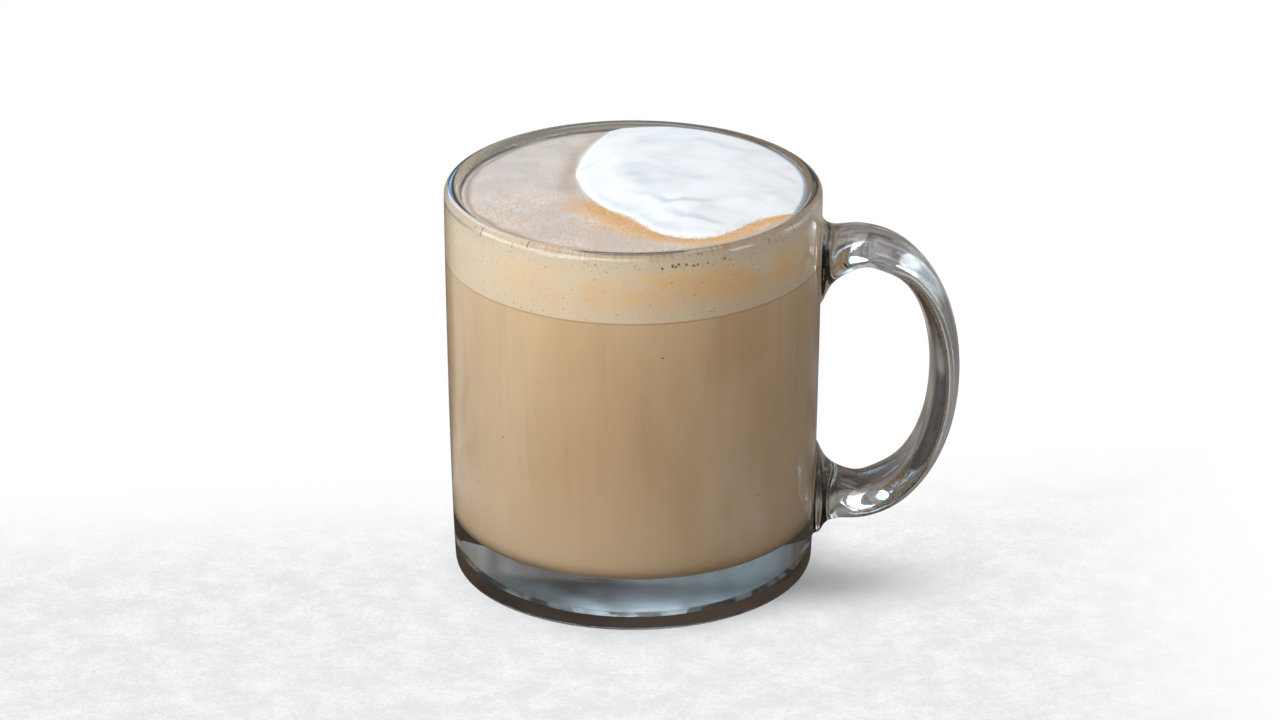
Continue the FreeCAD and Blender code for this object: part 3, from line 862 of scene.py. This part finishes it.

# painted reflections on the tent, dark and bright: turn, half width and fade in degrees, then lowest, highest
# and fade upwards in millimetres, then strength and colour
tentReflections = (
    (130, 26, 8, -9, 44, 30, 1.0, srgb(74, 72, 73)),
    (80, 14, 8, -9, 34, 10, 1.0, srgb(142, 135, 126)),
    (107, 13, 6, 47, 64, 6, 1.0, srgb(150, 163, 172)),
    (72, 9, 5, 44, 60, 6, 1.0, srgb(84, 78, 74)),
    (104, 3, 2, 51, 55, 3, 1.4, srgb(190, 212, 222)),
    (57, 2, 2, 52, 56, 3, 1.4, srgb(160, 184, 214)),
    (56, 6, 4, 44, 62, 8, 1.0, srgb(124, 122, 120)),
    (15, 34, 10, -9, 46, 16, 1.0, srgb(136, 129, 126)),
    (10, 16, 9, 56, 84, 12, 1.0, srgb(192, 197, 201)),
    (40, 8, 8, 30, 60, 10, 1.0, srgb(176, 172, 168)),
    (18, 12, 7, 92, 126, 14, 1.5, srgb(222, 230, 240)),
    (-44, 14, 9, -9, 12, 8, 1.0, srgb(196, 203, 210)),
    (172, 26, 16, -9, 40, 20, 1.0, srgb(186, 190, 196)),
    (68, 9, 5, 67, 104, 6, 1.0, srgb(208, 206, 206)),
    (79, 3, 3, 78, 104, 6, 2.6, srgb(156, 200, 250)),
    (86, 3, 3, 62, 70, 4, 1.0, srgb(190, 208, 232)),
    (117, 9, 6, 126, 215, 12, 4.0, srgb(156, 198, 250)),
    (-140, 40, 12, 96, 148, 14, 4.5, srgb(244, 248, 255)),
    (-38, 5, 3, 96, 140, 12, 4.0, srgb(250, 250, 250)),
    (0, 5, 3, 96, 140, 12, 3.0, srgb(240, 246, 255)),
)


def makeStage():
    material, tree, outlet = newMaterial("paleFloor")
    shader = tree.add("ShaderNodeBsdfPrincipled", {"Roughness": stageLook["roughness"],
                                                   "Specular IOR Level": stageLook["specular"]})
    spot = tree.place()
    # distance from the middle of the soft shadow, 1 at its edge
    away = tree.vector("ADD", spot, (-stageLook["shadowX"], -stageLook["shadowY"], 0))
    away = tree.vector("MULTIPLY", away, (1 / stageLook["shadowLong"], 1 / stageLook["shadowDeep"], 0))
    away = tree.length(away)
    # painted shadow: the floor's colour darkens towards that middle
    tree.set(shader.inputs["Base Color"], tree.blend(tree.ramp(away, 0.0, 1.1), stageLook["floorShade"],
                                                     stageLook["floor"]))
    # away from the shadow and the foot the camera sees a plain bright floor with a faint grain
    path = tree.add("ShaderNodeLightPath")
    seen = tree.times(path.outputs["Is Camera Ray"], tree.ramp(away, 0.0, 1.75, 0.1, 1.0),
                      tree.ramp(tree.length(spot), *stageLook["contact"], 0.6, 1.0))
    x, y, _ = tree.split(spot)
    plain = tree.math("MAXIMUM", tree.ramp(y, *stageLook["plainBehind"]),
                      tree.ramp(x, *stageLook["plainRight"]))
    blotch = tree.noise(spot, scale=0.1, detail=9.0, rough=0.86)
    grit = tree.noise(spot, scale=1.1, detail=3.0, rough=0.8)
    mottle = tree.blend(tree.ramp(blotch, 0.4, 0.62), stageLook["floorMottle"], stageLook["floorPale"])
    mottle = tree.blend(tree.ramp(grit, 0.45, 0.66, 0.0, 0.45), mottle, stageLook["floorGrit"])
    mottle = tree.blend(plain, mottle, (1, 1, 1, 1))
    white = tree.add("ShaderNodeEmission", {"Color": mottle, "Strength": 1.0})
    fade = tree.add("ShaderNodeMixShader", {0: seen, 1: shader.outputs[0], 2: white.outputs[0]})
    tree.set(outlet["Surface"], fade.outputs[0])
    size = stageLook["size"]
    floor = makePiece("floor", [(-size, -size, 0), (size, -size, 0), (size, size, 0), (-size, size, 0)],
                      [(0, 1, 2, 3)], material, smooth=False)
    makeTent()


def makeTent():
    material, tree, outlet = newMaterial("tentReflectionCard")
    x, y, height = tree.split(tree.place())
    flat = tree.add("ShaderNodeCombineXYZ", {0: x, 1: y, 2: 0.0}).outputs[0]
    far = tree.length(flat)
    heading = tree.add("ShaderNodeVectorMath", {0: flat}, operation="NORMALIZE").outputs[0]
    table = tree.blend(tree.ramp(far, *tentLook["underTo"]), tentLook["under"], tentLook["near"])
    table = tree.blend(tree.ramp(far, *tentLook["nearTo"]), table, tentLook["far"])
    wall = tree.blend(tree.ramp(height, *tentLook["wallChange"]), tentLook["wallLow"], tentLook["wallHigh"])
    shade = tree.blend(tree.ramp(height, 0.1, tentLook["corner"]), table, wall)
    outside = tree.ramp(far, *tentLook["patchesFrom"])
    # painted reflections: bright windows and dark patches round the object
    for turn, half, fade, low, high, rise, strength, colour in tentReflections:
        a = math.radians(turn)
        aim = tree.add("ShaderNodeVectorMath", {0: heading, 1: (math.cos(a), math.sin(a), 0)},
                       operation="DOT_PRODUCT").outputs["Value"]
        across = tree.ramp(aim, math.cos(math.radians(half + fade)), math.cos(math.radians(half)))
        upward = tree.times(tree.ramp(height, low - rise, low),
                            tree.ramp(height, high, high + rise, 1.0, 0.0))
        mask = tree.times(across, outside, upward)
        shade = tree.blend(mask, shade, [c * strength for c in colour[:3]] + [1.0])
    cloud = tree.noise(tree.place((1, 1, 0.6)), scale=0.03, detail=3.0, distort=1.0)
    cloud = tree.ramp(cloud, 0.36, 0.64, *tentLook["clouds"])
    glow = tree.add("ShaderNodeEmission", {"Color": shade, "Strength": cloud})
    tree.set(outlet["Surface"], glow.outputs[0])
    around = tentLook["around"]
    points = [(0, 0, tentLook["lift"])]
    for z in (tentLook["lift"], tentLook["corner"], tentLook["height"]):
        points += ringPoints(tentLook["radius"], z, around)
    tent = makePiece("paintedTent", points, ringFaces(3, around, closeEnd=False), material, smooth=False)
    tent.visible_camera = False
    tent.visible_diffuse = False
    tent.visible_shadow = False


lampAim = 50.0  # height at which the lamps point
lamps = (
    # name, turn about the object, height angle, distance, width, height, watts, colour
    ("windowLeft", -152, 30, 900, 700, 600, 5.1, (0.94, 0.98, 1.0)),
    ("lampFront", -95, 8, 1000, 500, 300, 1.35, (1.0, 0.87, 0.74)),
    ("windowBack", 140, 40, 900, 500, 400, 1.8, (0.86, 0.93, 1.0)),
    ("windowRight", 20, 20, 1000, 400, 400, 0.3, (0.86, 0.93, 1.0)),
    ("overhead", 80, 75, 1000, 800, 800, 3.9, (0.98, 0.99, 1.0)),
)


def makeLamps():
    aim = Vector((0, 0, lampAim * mm))
    for name, turn, rise, far, width, height, watts, colour in lamps:
        data = bpy.data.lights.new(name, "AREA")
        data.shape, data.size, data.size_y = "RECTANGLE", width * mm, height * mm
        data.energy, data.color = watts, colour
        lamp = addObject(name, data)
        a, e = math.radians(turn), math.radians(rise)
        away = Vector((math.cos(a) * math.cos(e), math.sin(a) * math.cos(e), math.sin(e)))
        lamp.location = aim + away * far * mm
        lamp.rotation_euler = (aim - lamp.location).to_track_quat("-Z", "Y").to_euler()


worldLook = {
    "soft": (0.95, 0.97, 1.0, 1.0), "strength": 0.3,  # light from all round
    "throughGlass": 0.35,  # share of the white background that glass lets through
}


def makeWorld():
    world = bpy.data.worlds.new("studio")
    bpy.context.scene.world = world
    world.use_nodes = True
    tree = Tree(world.node_tree)
    path = tree.add("ShaderNodeLightPath")
    soft = tree.add("ShaderNodeBackground", {"Color": worldLook["soft"], "Strength": worldLook["strength"]})
    white = tree.add("ShaderNodeBackground", {"Color": (1, 1, 1, 1), "Strength": 1.0})
    through = tree.times(path.outputs["Is Transmission Ray"], worldLook["throughGlass"])
    seen = tree.math("MAXIMUM", path.outputs["Is Camera Ray"], through)
    mix = tree.add("ShaderNodeMixShader", {0: seen, 1: soft.outputs[0], 2: white.outputs[0]})
    tree.add("ShaderNodeOutputWorld", {"Surface": mix.outputs[0]})


cameraView = {
    "turn": -6.0, "rise": 22.97,  # degrees about the object and over the table
    "distance": 1332.7,
    "aimRight": 1.51, "aimHeight": 48.67,
    "lens": 167.17, "sensor": 36.0,
}


def makeCamera():
    data = bpy.data.cameras.new("camera")
    data.lens, data.sensor_width = cameraView["lens"], cameraView["sensor"]
    camera = addObject("camera", data)
    a, e = math.radians(cameraView["turn"]), math.radians(cameraView["rise"])
    right = Vector((math.cos(a), math.sin(a), 0))
    back = Vector((math.sin(a) * math.cos(e), -math.cos(a) * math.cos(e), math.sin(e)))
    aim = right * cameraView["aimRight"] + Vector((0, 0, cameraView["aimHeight"]))
    camera.location = (aim + back * cameraView["distance"]) * mm
    camera.rotation_euler = back.to_track_quat("Z", "Y").to_euler()
    bpy.context.scene.camera = camera


makeStage()
makeLamps()
makeWorld()
makeCamera()
scene = bpy.context.scene
scene.view_settings.view_transform = "Standard"
print("stage, lamps and camera made")
